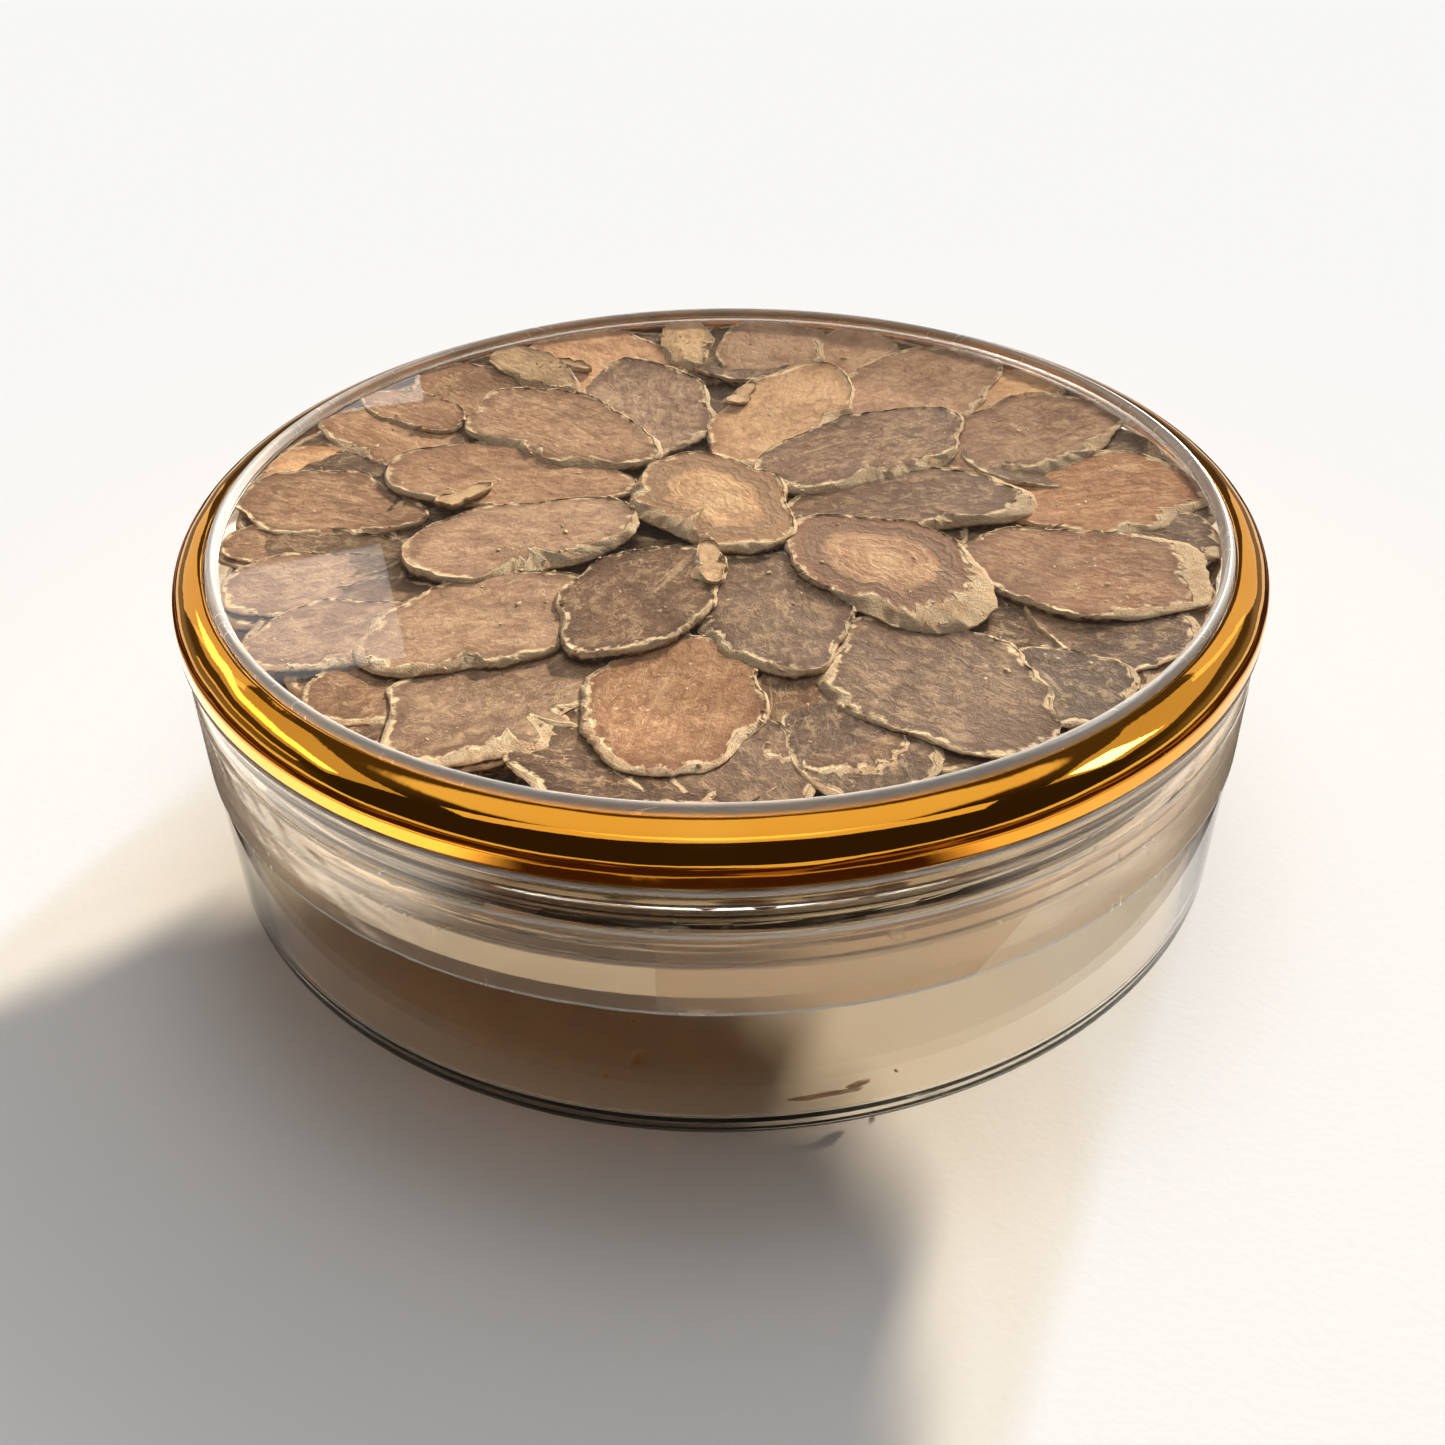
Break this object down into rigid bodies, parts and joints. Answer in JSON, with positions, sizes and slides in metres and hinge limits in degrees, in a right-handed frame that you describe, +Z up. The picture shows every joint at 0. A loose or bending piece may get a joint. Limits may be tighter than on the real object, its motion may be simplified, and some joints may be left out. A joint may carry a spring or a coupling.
{
  "type": "round gift jar with screw lid",
  "caption": "Round clear jar with a screw lid, a gold shoulder ring and a flat window over a rosette of dried root slices on a shallow hung tray.",
  "frame": {"origin": "centre of the jar's underside, on the table plane", "axes": "+Z up along the jar's axis; +X to the right and -Y to the front in the picture's view"},
  "size_m": [0.15, 0.15, 0.0474],
  "materials": {
    "clear_plastic": "clear, polished, lightly scuffed",
    "gold_plating": "mirror-bright gold plating on plastic",
    "clear_seal": "clear, soft",
    "clear_tape": "clear, thin, lightly wrinkled",
    "root_flesh": "dry, fibrous, matt with a slight sheen",
    "pale_root": "dry, fibrous, matt"
  },
  "bodies": {
    "jar": {"jar_body": "clear_plastic", "slice_tray": "clear_plastic", "seal_tape": "clear_tape", "slice_bed_01": "root_flesh", "slice_bed_02": "root_flesh", "slice_bed_03": "root_flesh", "slice_bed_04": "root_flesh", "slice_bed_05": "root_flesh", "slice_bed_06": "root_flesh", "slice_bed_07": "root_flesh", "slice_bed_08": "root_flesh", "slice_bed_09": "root_flesh", "slice_bed_10": "root_flesh", "slice_bed_11": "root_flesh", "slice_bed_12": "root_flesh", "slice_bed_13": "root_flesh", "slice_bed_14": "root_flesh", "slice_bed_15": "root_flesh", "slice_centre": "pale_root", "slice_inner_01": "root_flesh", "slice_inner_02": "root_flesh", "slice_inner_03": "root_flesh", "slice_inner_04": "root_flesh", "slice_inner_05": "root_flesh", "slice_inner_06": "root_flesh", "slice_inner_07": "root_flesh", "slice_inner_08": "root_flesh", "slice_inner_09": "root_flesh", "slice_inner_10": "root_flesh", "slice_inner_11": "root_flesh", "slice_outer_01": "root_flesh", "slice_outer_02": "root_flesh", "slice_outer_03": "root_flesh", "slice_outer_04": "root_flesh", "slice_outer_05": "root_flesh", "slice_outer_06": "root_flesh", "slice_outer_07": "root_flesh", "slice_outer_08": "root_flesh", "slice_outer_09": "root_flesh", "slice_outer_10": "root_flesh", "slice_outer_11": "root_flesh", "slice_outer_12": "root_flesh", "slice_outer_13": "root_flesh", "slice_outer_14": "root_flesh", "slice_outer_15": "root_flesh", "slice_outer_16": "root_flesh", "slice_outer_17": "root_flesh", "slice_outer_18": "root_flesh", "slice_outer_19": "root_flesh", "slice_outer_20": "root_flesh", "slice_outer_21": "root_flesh", "slice_outer_22": "root_flesh", "slice_outer_23": "root_flesh", "slice_outer_24": "root_flesh", "slice_outer_25": "root_flesh", "slice_outer_26": "root_flesh", "slice_outer_27": "root_flesh"},
    "seal": {"mouth_seal": "clear_seal"},
    "lid": {"lid_shell": "clear_plastic", "gold_ring": "gold_plating"}
  },
  "joints": [
    {"name": "lid_rise", "type": "slide", "parent": "jar", "child": "seal", "axis": [0, 0, 1], "range_m": [0, 0.0181]},
    {"name": "lid_turn", "type": "hinge", "parent": "seal", "child": "lid", "pos_m": [0, 0, 0.0288], "axis": [0, 0, 1], "range_deg": [0, 2160]}
  ],
  "couplings": [
    {"joint": "lid_rise", "follows": "lid_turn", "m_per_rad": 0.00047746}
  ]
}
